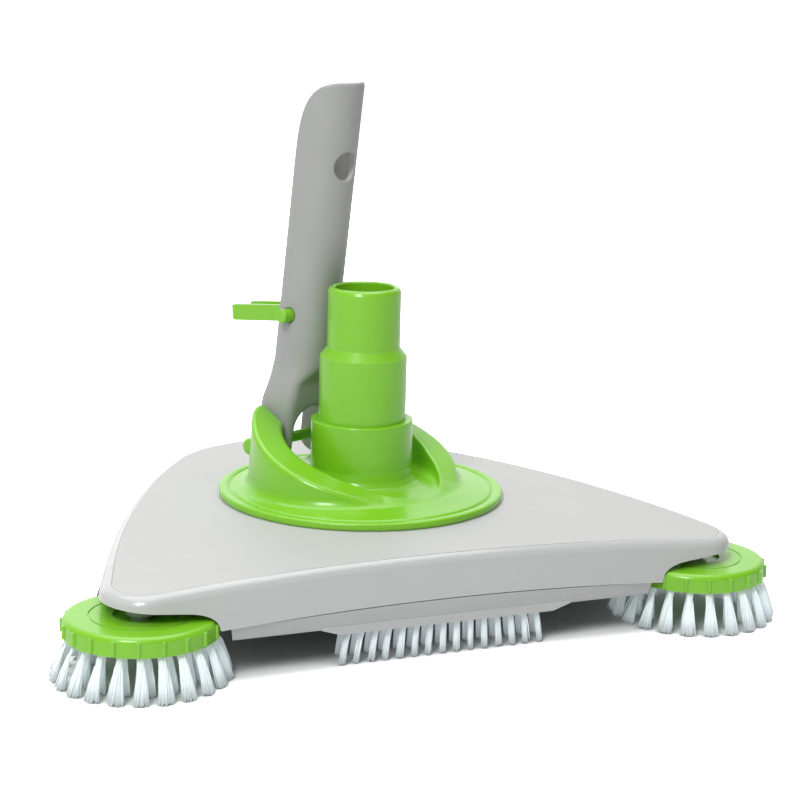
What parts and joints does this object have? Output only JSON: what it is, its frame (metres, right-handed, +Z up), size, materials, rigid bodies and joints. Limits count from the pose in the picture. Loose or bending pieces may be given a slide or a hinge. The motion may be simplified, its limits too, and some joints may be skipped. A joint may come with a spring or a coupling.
{
  "type": "manual pool vacuum head",
  "caption": "Triangular pool vacuum head with round corner brushes, brush strips, a swivel base with a stepped hose adapter, and a tilting pole handle.",
  "frame": {"origin": "the middle of the head's footprint, at the level of the bristle tips (the pool floor); the hose axis stands 6.33 mm in front of it", "axes": "+Z up along the hose axis, +X to the right, the straight front edge with its brush strip faces -Y"},
  "size_m": [0.3166, 0.2438, 0.2215],
  "materials": {
    "shell_grey": "light grey moulded ABS, glossy",
    "panel_grey": "light grey moulded ABS, fine matte texture",
    "handle_grey": "mid grey moulded plastic, satin",
    "green_plastic": "lime green moulded plastic, satin gloss",
    "bristle_white": "white nylon filament",
    "holder_white": "white moulded plastic",
    "seal_black": "black nitrile rubber",
    "stainless": "stainless steel",
    "ballast_iron": "coated iron weight"
  },
  "bodies": {
    "body": {"top_shell": "shell_grey", "top_panel": "panel_grey", "bottom_shell": "shell_grey", "ballast_left": "ballast_iron", "ballast_right": "ballast_iron", "ballast_rear": "ballast_iron", "case_screws": "stainless", "front_strip_holder": "holder_white", "front_strip_tufts": "bristle_white", "rear_strip_holder": "holder_white", "rear_strip_tufts": "bristle_white", "left_wheel_spindle": "stainless", "left_wheel_washer": "stainless", "right_wheel_spindle": "stainless", "right_wheel_washer": "stainless"},
    "left_wheel": {"left_brush_wheel": "green_plastic", "left_wheel_tufts": "bristle_white"},
    "right_wheel": {"right_brush_wheel": "green_plastic", "right_wheel_tufts": "bristle_white"},
    "swivel": {"swivel_base": "green_plastic", "swivel_retainer": "shell_grey", "retainer_screws": "stainless", "swivel_seal": "seal_black", "axle_pin": "green_plastic", "axle_clip": "stainless"},
    "adapter": {"hose_adapter": "green_plastic"},
    "handle": {"handle": "handle_grey", "clip_spring": "stainless"},
    "left_jaw": {"left_clip_jaw": "green_plastic"},
    "right_jaw": {"right_clip_jaw": "green_plastic"}
  },
  "joints": [
    {"name": "base_swivel", "type": "hinge", "parent": "body", "child": "swivel", "pos_m": [0, -0.00633, 0.045], "axis": [0, 0, 1], "continuous": true},
    {"name": "handle_tilt", "type": "hinge", "parent": "swivel", "child": "handle", "pos_m": [-0.01763, 0.02857, 0.062], "axis": [-0.8926, -0.4509, 0], "range_deg": [0, 70]},
    {"name": "hose_swivel", "type": "hinge", "parent": "swivel", "child": "adapter", "pos_m": [0, -0.00633, 0.065], "axis": [0, 0, 1], "continuous": true},
    {"name": "left_brush_spin", "type": "hinge", "parent": "body", "child": "left_wheel", "pos_m": [-0.123, -0.08633, 0.0215], "axis": [0, 0, 1], "continuous": true},
    {"name": "right_brush_spin", "type": "hinge", "parent": "body", "child": "right_wheel", "pos_m": [0.123, -0.08633, 0.0215], "axis": [0, 0, 1], "continuous": true},
    {"name": "clip_squeeze", "type": "slide", "parent": "handle", "child": "left_jaw", "axis": [0.8926, 0.4509, 0], "range_m": [0, 0.0045], "deforming": ["clip_spring"]},
    {"name": "clip_squeeze_right", "type": "slide", "parent": "handle", "child": "right_jaw", "axis": [-0.8926, -0.4509, 0], "range_m": [0, 0.0045]}
  ],
  "couplings": [
    {"joint": "clip_squeeze_right", "follows": "clip_squeeze", "ratio": 1}
  ]
}
